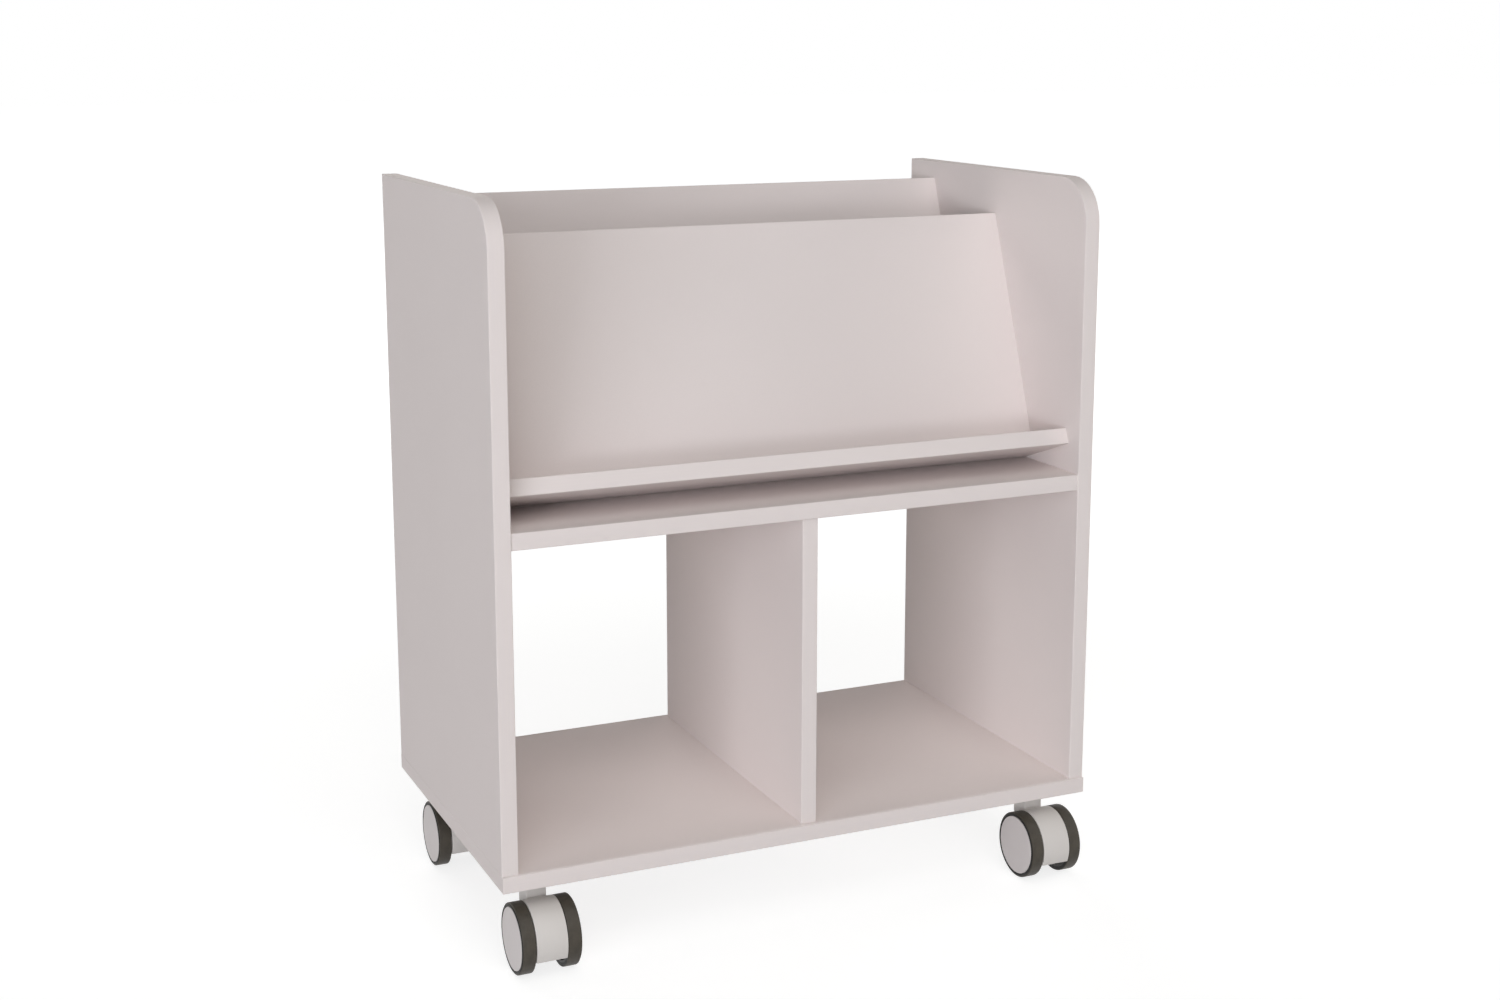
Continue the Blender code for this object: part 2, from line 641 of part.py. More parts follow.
def wheel_centre_mesh(side):
    """A wheel's moulded centre: a closed outer disc, a rim under the tyre and a hub with a blind bore."""
    outer, inner = WHEEL_WIDTH / 2, -WHEEL_WIDTH / 2
    behind_disc = outer - WHEEL_DISC
    hub = BORE_RADIUS + WHEEL_HUB_WALL
    profile = [
        (outer, 0),
        (outer, RIM_RADIUS - WHEEL_DISC_EASE),
        (outer - WHEEL_DISC_EASE, RIM_RADIUS),
        (inner, RIM_RADIUS),
        (inner, RIM_RADIUS - WHEEL_RIM_WALL),
        (behind_disc, RIM_RADIUS - WHEEL_RIM_WALL),
        (behind_disc, hub),
        (inner, hub),
        (inner, BORE_RADIUS),
        (behind_disc, BORE_RADIUS),
        (behind_disc, 0),
    ]
    return smooth(turned("wheel_centre", [(side * a, r) for a, r in profile], "X", WHEEL_STEPS))


def tyre_mesh():
    """A tyre: a plain ring with a flat tread and eased shoulders."""
    half = WHEEL_WIDTH / 2
    profile = [
        (half, TYRE_BORE),
        (half, WHEEL_RADIUS - TYRE_SHOULDER),
        (half - TYRE_SHOULDER, WHEEL_RADIUS),
        (TYRE_SHOULDER - half, WHEEL_RADIUS),
        (-half, WHEEL_RADIUS - TYRE_SHOULDER),
        (-half, TYRE_BORE),
    ]
    return smooth(turned("tyre", profile, "X", WHEEL_STEPS))


def build_casters(carcass):
    """Four casters: plate and kingpin fixed to the base; hood, washer and axle swivel; two wheels each."""
    steel = finish("zinc_plated_steel", (168, 168, 166), 0.35, 1.0)
    hood_plastic = finish("hood_plastic", (205, 201, 198), 0.45)
    wheel_plastic = finish("wheel_plastic", (188, 183, 182), 0.45)
    washer_plastic = finish("washer_plastic", (232, 230, 224), 0.40)
    rubber = finish("tyre_rubber", (62, 59, 57), 0.70)
    hood, plate, kingpin = hood_mesh(), plate_mesh(), kingpin_mesh()
    washer, axle, tyre = washer_mesh(), axle_mesh(), tyre_mesh()
    centres = {side: wheel_centre_mesh(side) for side in (-1, 1)}
    wheel_axis = (0, -CASTER_TRAIL, WHEEL_AXIS_Z)
    for corner, (x, y) in CASTERS.items():
        swivel = empty(f"{corner}_swivel", (x, y, 0), carcass)
        place(f"{corner}_caster_plate", plate, steel, swivel)
        place(f"{corner}_kingpin", kingpin, steel, swivel)
        place(f"{corner}_swivel_washer", washer, washer_plastic, swivel)
        place(f"{corner}_caster_hood", hood, hood_plastic, swivel)
        place(f"{corner}_axle", axle, steel, swivel, wheel_axis)
        for name, side in (("left", -1), ("right", 1)):
            spot = Vector(wheel_axis) + Vector((side * WHEEL_MIDDLE, 0, 0))
            place(f"{corner}_{name}_wheel_centre", centres[side], wheel_plastic, swivel, spot)
            place(f"{corner}_{name}_tyre", tyre, rubber, swivel, spot)


def main():
    for item in list(bpy.data.objects):
        bpy.data.objects.remove(item)
    board = finish("melamine_board", (214, 206, 204), 0.42)
    band = finish("edge_band", (218, 210, 208), 0.38)
    carcass = empty("carcass", (0, CARCASS_Y, 0))
    tray = empty("tray", (0, TRAY_Y, TRAY_Z), carcass, (-TRAY_SLOPE, 0, 0))
    build_sides(carcass, board, band)
    build_base(carcass, board, band)
    build_shelf(carcass, board, band)
    build_divider(carcass, board, band)
    build_tray(tray, board, band)
    build_rear_board(tray, board, band)
    build_casters(carcass)
    bpy.context.view_layer.update()


main()
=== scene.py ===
"""Looks of the mobile shelving unit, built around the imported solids.

The boards, bands, plates and kingpins are the CAD's own, with finishes and rounded shading. Finer casters take the
places of the CAD ones. Plate screws, glue lines in the joints, floor, lamps and camera are added.
Metres, in the part's own frame: +X to the right of someone facing the front, +Y to the back, +Z up.
"""
import math

import bmesh
import bpy
from mathutils import Matrix, Vector, geometry
from mathutils.bvhtree import BVHTree


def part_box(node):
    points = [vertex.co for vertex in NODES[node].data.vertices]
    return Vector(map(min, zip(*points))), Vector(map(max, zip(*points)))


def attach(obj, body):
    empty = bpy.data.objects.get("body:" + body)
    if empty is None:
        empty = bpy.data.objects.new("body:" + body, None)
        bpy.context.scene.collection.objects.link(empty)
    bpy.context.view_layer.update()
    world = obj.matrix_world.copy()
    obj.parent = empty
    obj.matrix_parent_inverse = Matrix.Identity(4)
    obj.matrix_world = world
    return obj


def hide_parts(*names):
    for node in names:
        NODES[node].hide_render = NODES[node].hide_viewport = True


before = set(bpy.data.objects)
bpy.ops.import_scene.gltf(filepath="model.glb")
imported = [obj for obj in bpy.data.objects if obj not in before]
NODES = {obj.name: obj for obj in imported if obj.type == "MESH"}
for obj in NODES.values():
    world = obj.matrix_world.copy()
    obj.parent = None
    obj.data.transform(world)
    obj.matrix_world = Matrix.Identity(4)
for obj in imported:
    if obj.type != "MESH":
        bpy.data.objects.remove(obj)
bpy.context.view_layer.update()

CORNERS = ("front_left", "front_right", "rear_left", "rear_right")
SIDES = {"left": -1, "right": 1}

# Name endings of the CAD nodes that stay in view
CARCASS = ("panel", "shelf", "divider", "ledge", "board", "band")
FITTINGS = ("plate", "kingpin")
UPRIGHT_BANDS = ("side_edge_band", "divider_front_edge_band", "divider_rear_edge_band")

# Camera, fitted to the photograph's edges
CAMERA_PLACE = (-0.9238, -2.0821, 0.9668)
CAMERA_TURN = math.radians(24.218)
CAMERA_TILT = math.radians(10.808)
CAMERA_LENS = 49.047
CAMERA_SENSOR = 36.0
CAMERA_SHIFT = -0.055

# Light: lamps on a ring round the unit, all aimed at its middle
AIM = Vector((0, 0, 0.42))
LAMP_DISTANCE = 8.0
COOL = (0.935, 0.965, 1.0)
WARM = (1.0, 0.992, 0.955)
LAMPS = {
    # name: (degrees right of the front, degrees up, width, height, watts, colour)
    "key": (-30, 8, 3.4, 2.8, 76.0, COOL),
    "key_left": (-50, 8, 3.4, 2.8, 102.0, COOL),
    "key_low": (-50, 1, 4.0, 0.9, 115.0, COOL),
    "key_high": (-40, 35, 4.0, 4.0, 41.0, COOL),
    "front": (-20, 24, 3.4, 2.8, 65.0, COOL),
    "front_high": (-5, 40, 4.0, 4.0, 68.0, WARM),
    "right": (75, 8, 3.4, 2.8, 116.0, WARM),
    "right_far": (100, 10, 3.4, 2.8, 157.0, WARM),
    "top": (0, 62, 5.0, 5.0, 131.0, WARM),
    "back": (180, 25, 5.0, 5.0, 158.0, WARM),
    "back_left": (-150, 22, 3.4, 2.8, 78.0, WARM),
}

# Surround: the sky's weak light, and a floor that glows to white where it is seen and keeps the unit's shadow
SKY = 0.01
SKY_SEEN = 1.0
FLOOR_GREY = 0.80
FLOOR_SEEN_GREY = 0.40
FLOOR_GLOW_NEAR = 0.78
FLOOR_GLOW_FAR = 1.0
FLOOR_NEAR = 0.8
FLOOR_FAR = 3.0
FLOOR_HALF = 25.0

# Colours, as screen values
BOARD_COLOUR = (228, 218, 216)
HOOD_COLOUR = (214, 208, 204)
WHEEL_COLOUR = (211, 203, 202)
WHEEL_INSIDE_COLOUR = (38, 35, 33)
WASHER_COLOUR = (232, 230, 224)
TREAD_COLOUR = (60, 55, 48)
DUST_COLOUR = (73, 67, 59)
# tyre sides: dark rubber, darkened further as painted shade for the groove round the disc and the tyre's inner
# side
SIDEWALL_SHADE_COLOUR = (25, 23, 22)
ZINC_COLOUR = (186, 187, 186)

# Finishes: sheen as a specular level, relief as the depth of the surface's texture
BOARD_SHEEN = 0.12
TREAD_SHEEN = 0.3
SIDEWALL_SHEEN = 0.25
BOARD_RELIEF = 0.00003
BAND_RELIEF = 0.00001
MOULD_RELIEF = 0.00002
TREAD_RELIEF = 0.00004
SIDEWALL_RELIEF = 0.00003
ZINC_RELIEF = 0.00002
STREAKS_ACROSS = 1400.0
STREAKS_ALONG = 7.0
WEAR_ACROSS = 1500.0
WEAR_ROUND = 6.0

# Meshes: fineness of turned shapes, and the angles above which an edge shows as sharp
TURN_STEPS = 96
WASHER_STEPS = 48
PIN_STEPS = 32
ARC_STEPS = 5
SHARP_ANGLE = math.radians(32)
EASED_ANGLE = math.radians(50)
MERGE_DISTANCE = 1e-5

# Glue: as deep as the joints, on boards a hair less, so that no two layers share an edge
BAND_GLUE = 0.0003
BOARD_GLUE = 0.000297
JOINT_REACH = 0.00035

# Fine casters; places and outer sizes come from the CAD nodes
TYRE_THICKNESS = 0.0041
TYRE_SHOULDER = 0.0008
TYRE_SIDE_RECESS = 0.0009
BEAD_WIDTH = 0.0026
BEAD_EDGE = 0.0003
BEAD_RECESS = 0.0001
BEAD_GROOVE = 0.0006
DISC_GAP = 0.0003
DISC_EDGE = 0.0007
DISC_THICKNESS = 0.003
RIM_WALL = 0.0025
HUB_WALL = 0.0045
RIB_COUNT = 8
RIB_WIDTH = 0.0016
RIB_RECESS = 0.002
HOOD_WALL = 0.003
HOOD_WIDER = 0.0003
HOOD_FULLER = 0.0011
HOOD_EDGE = 0.0005
HOOD_WEB = 0.007
HOOD_BOSS_WALL = 0.005
NECK_WIDTH = 0.0225
NECK_DEPTH = 0.0245
NECK_CORNER = 0.0012
NECK_FLOOR = 0.012
CLEARANCE = 0.0003
KINGPIN_RADIUS = 0.005
PIN_BORE = KINGPIN_RADIUS + CLEARANCE
PIN_BORE_LENGTH = 0.06
AXLE_CHAMFER = 0.0006
WASHER_RADIUS = 0.010
WASHER_EDGE = 0.0003
SCREW_INSET = 0.008
SCREW_HEAD = 0.0042
SCREW_RISE = 0.0024
SCREW_DOME = 0.6  # share of the head's height that is domed
SCREW_SHANK = 0.0021
SCREW_CROSS = 0.0011
SCREW_CROSS_REACH = 0.0026
SCREW_CROSS_DEPTH = 0.0014
SCREW_CROSS_START = 0.001

X_AXIS_UP = Matrix.Rotation(-math.pi / 2, 4, "Y")


def linear(red, green, blue):
    """A colour written as 0 to 255 screen values, in linear light."""
    return [((v / 255 + 0.055) / 1.055) ** 2.4 for v in (red, green, blue)] + [1.0]


def shade(colour, factor):
    """The colour, darker or lighter by a factor."""
    return [c * factor for c in colour[:3]] + [1.0]


class Look:
    """A material under construction, with short calls that add nodes and join them."""

    def __init__(self, name, constants=()):
        self.material = bpy.data.materials.new(name)
        self.material.use_nodes = True
        self.tree = self.material.node_tree
        self.shader = self.tree.nodes["Principled BSDF"]
        self.place = self.add("ShaderNodeTexCoord").outputs["Object"]
        for socket, value in dict(constants).items():
            self.shader.inputs[socket].default_value = value

    def add(self, kind, inputs=(), **settings):
        node = self.tree.nodes.new(kind)
        for key, value in settings.items():
            setattr(node, key, value)
        for key, value in dict(inputs).items():
            self.feed(node.inputs[key], value)
        return node

    def feed(self, socket, value):
        if isinstance(value, bpy.types.NodeSocket):
            self.tree.links.new(value, socket)
        else:
            socket.default_value = value

    def math(self, operation, *values):
        return self.add("ShaderNodeMath", dict(enumerate(values)), operation=operation).outputs[0]

    def stretched(self, scale):
        """The place on the piece, scaled by axis, so that a pattern can run along one direction."""
        node = self.add("ShaderNodeVectorMath", {0: self.place, 1: scale}, operation="MULTIPLY")
        return node.outputs[0]

    def around(self, across, along):
        """The place on a turned piece as (along its axis, round it, off it), scaled, for marks round it."""
        parts = self.add("ShaderNodeSeparateXYZ", {0: self.place}).outputs
        turn = self.math("ARCTAN2", parts["Y"], parts["Z"])
        squares = [self.math("POWER", parts[axis], 2.0) for axis in ("Y", "Z")]
        radius = self.math("SQRT", self.math("ADD", *squares))
        inputs = {
            "X": self.math("MULTIPLY", parts["X"], across),
            "Y": self.math("MULTIPLY", turn, along),
            "Z": self.math("MULTIPLY", radius, across),
        }
        return self.add("ShaderNodeCombineXYZ", inputs).outputs[0]

    def noise(self, scale, detail=2.0, rough=0.5, where=None):
        inputs = {"Vector": where or self.place, "Scale": scale, "Detail": detail, "Roughness": rough}
        return self.add("ShaderNodeTexNoise", inputs).outputs["Fac"]

    def cells(self, scale):
        inputs = {"Vector": self.place, "Scale": scale}
        return self.add("ShaderNodeTexVoronoi", inputs, feature="SMOOTH_F1").outputs["Distance"]

    def spread(self, value, low=0.0, high=1.0, start=0.3, end=0.7):
        """Maps a pattern's middle range to low..high."""
        inputs = {"Value": value, "From Min": start, "From Max": end, "To Min": low, "To Max": high}
        return self.add("ShaderNodeMapRange", inputs).outputs["Result"]

    def mix(self, share, first, second):
        """One colour passing into another by a pattern; the numbers are the node's colour sockets."""
        node = self.add("ShaderNodeMix", {0: share, 6: first, 7: second}, data_type="RGBA")
        return node.outputs[2]

    def tones(self, share, colour, low, high):
        """A colour that a pattern shifts between two factors of itself."""
        return self.mix(share, shade(colour, low), shade(colour, high))

    def colour(self, value):
        self.feed(self.shader.inputs["Base Color"], value)

    def roughness(self, value):
        self.feed(self.shader.inputs["Roughness"], value)

    def bump(self, height, distance, strength):
        inputs = {"Height": height, "Distance": distance, "Strength": strength}
        self.feed(self.shader.inputs["Normal"], self.add("ShaderNodeBump", inputs).outputs["Normal"])


def melamine():
    """Board face: a pressed pearl relief, a faint mottle in the paper and handling marks in the gloss."""
    look = Look("board_face", {"Specular IOR Level": BOARD_SHEEN})
    base = linear(*BOARD_COLOUR)
    cloud = look.spread(look.noise(6.0, detail=4.0, rough=0.55))
    paper = look.spread(look.noise(900.0))
    broad = look.tones(cloud, base, 0.988, 1.010)
    look.colour(look.mix(paper, broad, shade(base, 0.985)))
    pearl = look.cells(700.0)
    marks = look.spread(look.noise(14.0, detail=5.0, rough=0.6), low=0.64, high=0.72)
    look.roughness(look.math("MULTIPLY_ADD", pearl, 0.05, marks))
    look.bump(look.math("ADD", pearl, look.noise(1600.0)), BOARD_RELIEF, strength=0.5)
    return look.material


def edge_band(name, stretch):
    """Edge band: smooth plastic with fine scraping streaks along its length."""
    look = Look(name, {"Specular IOR Level": BOARD_SHEEN})
    base = linear(*BOARD_COLOUR)
    streak = look.noise(1.0, detail=3.0, rough=0.6, where=look.stretched(stretch))
    wave = look.spread(look.noise(9.0, detail=3.0))
    tone = look.tones(look.spread(streak), base, 0.985, 1.012)
    look.colour(look.mix(wave, tone, base))
    look.roughness(look.spread(streak, low=0.64, high=0.74))
    look.bump(streak, BAND_RELIEF, strength=0.5)
    return look.material


def moulded(name, colour, low, high):
    """Moulded plastic with a fine eroded texture and a slight flow mottle; low and high bound its roughness."""
    look = Look(name)
    base = linear(*colour)
    flow = look.spread(look.noise(35.0, detail=3.0))
    grain = look.noise(2600.0)
    tone = look.tones(flow, base, 0.98, 1.015)
    look.colour(look.mix(look.spread(grain), tone, shade(base, 0.97)))
    look.roughness(look.spread(look.noise(60.0, detail=3.0), low, high))
    look.bump(grain, MOULD_RELIEF, strength=0.6)
    return look.material


def tread():
    """Tyre tread: soft grey rubber with fine wear lines round it and patches of dust."""
    look = Look("tyre_tread", {"Specular IOR Level": TREAD_SHEEN})
    lines = look.noise(1.0, detail=3.0, rough=0.6, where=look.around(WEAR_ACROSS, WEAR_ROUND))
    dust = look.spread(look.noise(90.0, detail=4.0, rough=0.6))
    worn = look.tones(look.spread(lines), linear(*TREAD_COLOUR), 0.84, 1.16)
    look.colour(look.mix(dust, worn, linear(*DUST_COLOUR)))
    look.roughness(look.spread(lines, low=0.42, high=0.58))
    look.bump(lines, TREAD_RELIEF, strength=0.6)
    return look.material


def sidewall():
    """Tyre side: the same rubber, darker, its colour deepened as painted shade for the groove round the disc, with
    a slight sheen.
    """
    look = Look("tyre_side", {"Specular IOR Level": SIDEWALL_SHEEN})
    bloom = look.spread(look.noise(140.0, detail=4.0, rough=0.6))
    look.colour(look.tones(bloom, linear(*SIDEWALL_SHADE_COLOUR), 0.9, 1.15))
    look.roughness(look.spread(look.noise(220.0, detail=3.0), low=0.46, high=0.60))
    look.bump(look.noise(1800.0, detail=3.0), SIDEWALL_RELIEF, strength=0.5)
    return look.material


def zinc():
    """Zinc plate: small spangles and a brushed, slightly uneven gloss."""
    look = Look("zinc_plate", {"Metallic": 1.0})
    spangle = look.spread(look.cells(260.0), start=0.0, end=0.6)
    look.colour(look.tones(spangle, linear(*ZINC_COLOUR), 0.9, 1.05))
    look.roughness(look.spread(look.noise(180.0, detail=3.0), low=0.28, high=0.42))
    look.bump(look.noise(900.0), ZINC_RELIEF, strength=0.5)
    return look.material


MELAMINE = melamine()
BAND_UPRIGHT = edge_band("band_upright", (STREAKS_ACROSS, STREAKS_ALONG, STREAKS_ALONG))
BAND_LEVEL = edge_band("band_level", (STREAKS_ALONG, STREAKS_ALONG, STREAKS_ACROSS))
HOOD_PLASTIC = moulded("hood_moulding", HOOD_COLOUR, 0.40, 0.50)
WHEEL_PLASTIC = moulded("wheel_moulding", WHEEL_COLOUR, 0.42, 0.52)
WHEEL_INSIDE = moulded("wheel_inside_moulding", WHEEL_INSIDE_COLOUR, 0.42, 0.52)
WASHER_PLASTIC = moulded("washer_moulding", WASHER_COLOUR, 0.38, 0.46)
TREAD = tread()
SIDEWALL = sidewall()
ZINC = zinc()


def rounded_shading():
    """A node group that joins a CAD mesh's split corners and shades it smooth between its sharp edges."""
    group = bpy.data.node_groups.new("rounded_shading", "GeometryNodeTree")
    for way in ("INPUT", "OUTPUT"):
        group.interface.new_socket("Geometry", in_out=way, socket_type="NodeSocketGeometry")
    add, link = group.nodes.new, group.links.new
    merge = add("GeometryNodeMergeByDistance")
    merge.inputs["Distance"].default_value = MERGE_DISTANCE
    smooth = add("GeometryNodeSetShadeSmooth")
    sharp = add("GeometryNodeSetShadeSmooth")
    sharp.domain = "EDGE"
    sharp.inputs["Shade Smooth"].default_value = False
    steep = add("FunctionNodeCompare")
    steep.inputs[1].default_value = EASED_ANGLE
    link(add("GeometryNodeInputMeshEdgeAngle").outputs["Unsigned Angle"], steep.inputs[0])
    link(steep.outputs["Result"], sharp.inputs["Selection"])
    link(add("NodeGroupInput").outputs[0], merge.inputs["Geometry"])
    link(merge.outputs["Geometry"], smooth.inputs["Geometry"])
    link(smooth.outputs["Geometry"], sharp.inputs["Geometry"])
    link(sharp.outputs["Geometry"], add("NodeGroupOutput").inputs[0])
    return group


def finish_of(node):
    """The material of a CAD node that stays in view."""
    if node.endswith(FITTINGS):
        return ZINC
    if node.endswith(UPRIGHT_BANDS):
        return BAND_UPRIGHT
    return BAND_LEVEL if node.endswith("band") else MELAMINE


def dress_cad_nodes():
    """Boards, bands, plates and kingpins get a finish and show as eased and rounded, with flat faces kept flat."""
    group = rounded_shading()
    for node, item in NODES.items():
        if node.endswith(CARCASS + FITTINGS):
            item.data.materials.clear()
            item.data.materials.append(finish_of(node))
            item.modifiers.new("rounded_shading", "NODES").node_group = group
            weighted = item.modifiers.new("flat_faces", "WEIGHTED_NORMAL")
            weighted.keep_sharp = True


def shade_smooth(mesh):
    """Smooth shading between sharp edges."""
    mesh.shade_smooth()
    mesh.set_sharp_from_angle(angle=SHARP_ANGLE)


def to_mesh(name, bm, materials):
    """Turns the faces outward and hands the shape over as a mesh."""
    bmesh.ops.recalc_face_normals(bm, faces=bm.faces)
    mesh = bpy.data.meshes.new(name)
    bm.to_mesh(mesh)
    bm.free()
    for material in materials:
        mesh.materials.append(material)
    shade_smooth(mesh)
    return mesh


def arc(along, radius, bend, first, last):
    """A rounded edge of a turned profile; angles in degrees, 0 outward along the axis and 90 away from it."""
    points = []
    for i in range(ARC_STEPS + 1):
        turn = math.radians(first + (last - first) * i / ARC_STEPS)
        points.append((along + bend * math.cos(turn), radius + bend * math.sin(turn)))
    return points


def turned(name, profile, materials, side=1, steps=TURN_STEPS):
    """A solid turned about the X axis from (along, radius) points; it closes on the axis or on itself."""
    bm = bmesh.new()
    turns = [2 * math.pi * i / steps for i in range(steps)]
    rings = []
    for along, radius in profile:
        if radius == 0:
            rings.append([bm.verts.new((side * along, 0, 0))] * steps)
        else:
            ring = [(side * along, radius * math.sin(a), radius * math.cos(a)) for a in turns]
            rings.append([bm.verts.new(point) for point in ring])
    pairs = list(zip(rings, rings[1:]))
    if profile[0][1] > 0:
        pairs.append((rings[-1], rings[0]))
    for a, b in pairs:
        for i in range(steps):
            j = (i + 1) % steps
            bm.faces.new(dict.fromkeys((a[i], a[j], b[j], b[i])))
    return to_mesh(name, bm, materials)


def block(name, low, high, materials):
    """A plain box between two corners, used to join or cut other shapes."""
    bm = bmesh.new()
    bmesh.ops.create_cube(bm, size=1)
    middle = (Vector(low) + Vector(high)) / 2
    bmesh.ops.scale(bm, vec=Vector(high) - Vector(low), verts=bm.verts)
    bmesh.ops.translate(bm, vec=middle, verts=bm.verts)
    return to_mesh(name, bm, materials)


def combined(mesh, joined=(), cut=()):
    """The solid with other solids joined on, then others cut away, as one new mesh."""
    body = bpy.data.objects.new(mesh.name, mesh)
    bpy.context.collection.objects.link(body)
    tools = []
    for operation, shapes in (("UNION", joined), ("DIFFERENCE", cut)):
        for shape in shapes:
            tool = bpy.data.objects.new(shape.name, shape)
            bpy.context.collection.objects.link(tool)
            tools.append(tool)
            modifier = body.modifiers.new(shape.name, "BOOLEAN")
            modifier.operation = operation
            modifier.solver = "EXACT"
            modifier.object = tool
    graph = bpy.context.evaluated_depsgraph_get()
    result = bpy.data.meshes.new_from_object(body.evaluated_get(graph))
    for item in [body] + tools:
        bpy.data.objects.remove(item)
    shade_smooth(result)
    return result


def middle_of(node):
    """The middle of a CAD node's box."""
    low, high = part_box(node)
    return (low + high) / 2


def size_of(node):
    """The three lengths of a CAD node's box."""
    low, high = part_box(node)
    return high - low


def place(name, mesh, where, body, stands_for=()):
    """One piece in its place, riding on a body, with the CAD nodes it stands for hidden."""
    piece = bpy.data.objects.new(name, mesh)
    bpy.context.collection.objects.link(piece)
    piece.location = where
    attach(piece, body)
    if stands_for:
        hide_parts(*stands_for)


def surface_of(node):
    """A CAD node's corner points and faces, in the part's frame."""
    item = NODES[node]
    points = [item.matrix_world @ v.co for v in item.data.vertices]
    return points, [list(f.vertices) for f in item.data.polygons]


def in_box(point, box):
    """Whether a point lies inside a box given by its two corners."""
    return all(low < value < high for low, value, high in zip(box[0], point, box[1]))


def joint_faces(node, surface, trees, others):
    """The faces of a board or band that lie just short of others, as a sheet, without dowels in their holes."""
    points, faces = surface
    bm = bmesh.new()
    corners = [bm.verts.new(point) for point in points]
    for face in faces:
        spots = [points[i] for i in face]
        middle, normal = sum(spots, Vector()) / len(spots), geometry.normal(spots)
        tests = [middle] + [(middle + spot) / 2 for spot in spots]
        for other in others:
            near = any(trees[other].ray_cast(test, normal, JOINT_REACH)[0] for test in tests)
            if near and (node.endswith("band") or not in_box(middle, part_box(other))):
                bm.faces.new([corners[i] for i in face])
                break
    bmesh.ops.remove_doubles(bm, verts=bm.verts, dist=MERGE_DISTANCE)
    bm.normal_update()
    return bm


def joint_order(node):
    """Sorts each piece before those it is fixed to: bands, inner boards, side panels, base."""
    return node.endswith("panel"), not node.endswith("band"), "base" in node, "side" in node


def make_joints():
    """Glue lines in the board's colour, which fill the narrow joints between boards and bands."""
    nodes = sorted((node for node in NODES if node.endswith(CARCASS)), key=joint_order)
    surfaces = {node: surface_of(node) for node in nodes}
    trees = {node: BVHTree.FromPolygons(*surfaces[node]) for node in nodes}
    glue = bmesh.new()
    for i, node in enumerate(nodes):
        sheet = joint_faces(node, surfaces[node], trees, nodes[i + 1 :])
        near = {v: glue.verts.new(v.co) for v in sheet.verts if v.link_faces}
        depth = BAND_GLUE if node.endswith("band") else BOARD_GLUE
        far = {v: glue.verts.new(v.co + v.normal * depth * v.calc_shell_factor()) for v in near}
        for face in sheet.faces:
            glue.faces.new([far[v] for v in face.verts])
            glue.faces.new([near[v] for v in reversed(face.verts)])
        for edge in sheet.edges:
            if edge.is_boundary:
                a, b = edge.verts
                glue.faces.new((near[a], near[b], far[b], far[a]))
        sheet.free()
    place("glue_lines", to_mesh("glue_lines", glue, [MELAMINE]), (0, 0, 0), "carcass")


def tyre_mesh(side):
    """A tyre: flat tread, rounded shoulders, and on the outer side a bead round the disc, its dark colour partly
    painted shade.
    """
    size = size_of("front_left_left_tyre")
    radius, half = size.z / 2, size.x / 2
    bore, shoulder = radius - TYRE_THICKNESS, radius - TYRE_SHOULDER
    bead, side_face, bead_face = bore + BEAD_WIDTH, half - TYRE_SIDE_RECESS, half - BEAD_RECESS
    profile = [(-half, bore)]
    profile += arc(TYRE_SHOULDER - half, shoulder, TYRE_SHOULDER, 180, 90)
    profile += arc(side_face - TYRE_SHOULDER, shoulder, TYRE_SHOULDER, 90, 0)
    profile += [(side_face, bead)]
    profile += arc(bead_face - BEAD_EDGE, bead - BEAD_EDGE, BEAD_EDGE, 90, 0)
    profile += [(bead_face, bore + BEAD_GROOVE), (bead_face - BEAD_GROOVE, bore)]
    mesh = turned("tyre", profile, [TREAD, SIDEWALL], side)
    # the sides and the bead take the dark rubber, which is partly painted shade
    for face in mesh.polygons:
        outer, distance = side * face.center.x > 0, face.center.yz.length
        face.material_index = int(distance < (bead if outer else shoulder))
    return mesh


def wheel_mesh(side):
    """A wheel's centre: a plain outer disc with a rounded edge; inside, a rim, a hub and ribs between them."""
    size = size_of("front_left_left_tyre")
    half = size.x / 2
    rim = size.z / 2 - TYRE_THICKNESS - DISC_GAP
    bore = size_of("front_left_axle").z / 2 + CLEARANCE
    hub, inner_rim, behind = bore + HUB_WALL, rim - RIM_WALL, half - DISC_THICKNESS
    finishes = [WHEEL_PLASTIC, WHEEL_INSIDE]
    profile = [(half, 0)]
    profile += arc(half - DISC_EDGE, rim - DISC_EDGE, DISC_EDGE, 0, 90)
    profile += [(-half, rim), (-half, inner_rim), (behind, inner_rim), (behind, hub), (-half, hub)]
    profile += [(-half, bore), (behind, bore), (behind, 0)]
    start, end = sorted((side * (RIB_RECESS - half), side * (behind + DISC_THICKNESS / 2)))
    low = (start, -RIB_WIDTH / 2, (bore + hub) / 2)
    high = (end, RIB_WIDTH / 2, (inner_rim + rim) / 2)
    ribs = []
    for i in range(RIB_COUNT):
        rib = block("rib", low, high, finishes)
        rib.transform(Matrix.Rotation(2 * math.pi * i / RIB_COUNT, 4, "X"))
        ribs.append(rib)
    mesh = combined(turned("wheel_centre", profile, finishes, side), ribs)
    pale_from = behind + DISC_THICKNESS / 4  # the disc's face and edge are pale, all behind them dark
    for face in mesh.polygons:
        face.material_index = int(side * face.center.x < pale_from)
    return mesh


